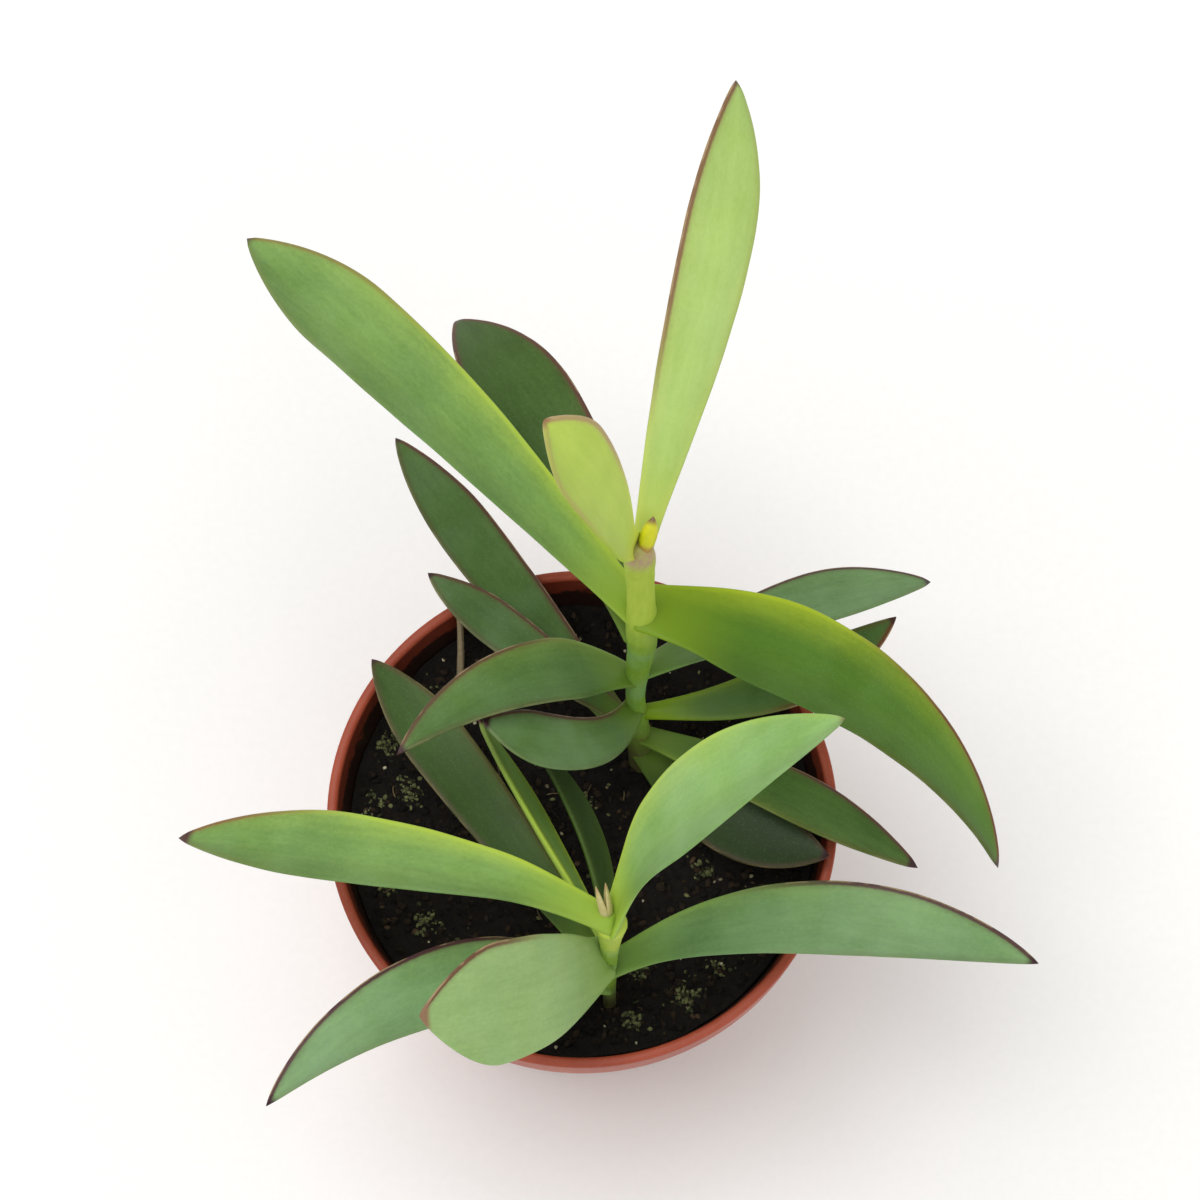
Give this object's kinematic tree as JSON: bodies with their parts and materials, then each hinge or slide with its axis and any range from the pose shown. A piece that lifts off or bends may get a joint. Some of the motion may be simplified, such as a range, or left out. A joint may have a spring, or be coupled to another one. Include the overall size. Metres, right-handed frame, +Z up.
{
  "type": "potted succulent plant",
  "caption": "Young succulent in a small tapered nursery pot of soil: two leafy stems with smooth, fleshy, dark-edged strap-shaped leaves in pairs. It stands on the pot's flat underside.",
  "frame": {"origin": "centre of the pot's underside, on the surface that it stands on", "axes": "+Z up along the pot's axis. -Y is the front, where the picture's camera stands, and +X is to its right"},
  "size_m": [0.1047, 0.1123, 0.1511],
  "materials": {
    "pot": "thin terracotta-coloured moulded plastic, satin, darker inside",
    "soil": "dark moist peat mix with pale bits of perlite and fibre and a mossy patch",
    "dry_stalk": "withered, pale brown, matte",
    "stem": "smooth fleshy green stem, satin, with brown rings at its nodes",
    "leaf_young": "fleshy leaf, yellow-green, waxy satin, thin brown margin",
    "leaf_mature": "fleshy leaf, mid green, waxy satin, dark red-brown margin",
    "leaf_old": "fleshy leaf, deep green, waxy satin, dark purple-brown margin",
    "leaf_grey": "fleshy leaf, grey-green with bloom, dark purple margin",
    "bud_yellow": "young bud, bright yellow-green",
    "bud_pale": "young bud, pale green"
  },
  "bodies": {
    "root": {"pot": "pot", "soil": "soil", "dry_stalk": "dry_stalk", "stem_tall": "stem", "stem_front": "stem", "leaf_tall_01": "leaf_young", "leaf_tall_02": "leaf_young", "leaf_tall_03": "leaf_mature", "leaf_tall_04": "leaf_mature", "leaf_tall_05": "leaf_old", "leaf_tall_06": "leaf_old", "leaf_tall_07": "leaf_old", "leaf_tall_08": "leaf_old", "leaf_tall_09": "leaf_old", "leaf_tall_10": "leaf_old", "leaf_tall_11": "leaf_old", "leaf_tall_12": "leaf_old", "leaf_tall_13": "leaf_old", "leaf_front_01": "leaf_mature", "leaf_front_02": "leaf_mature", "leaf_front_03": "leaf_mature", "leaf_front_04": "leaf_old", "leaf_front_05": "leaf_old", "leaf_front_06": "leaf_grey", "leaf_front_07": "leaf_grey", "leaf_front_08": "leaf_grey", "bud_tall": "bud_yellow", "bud_front": "bud_pale"}
  },
  "joints": []
}
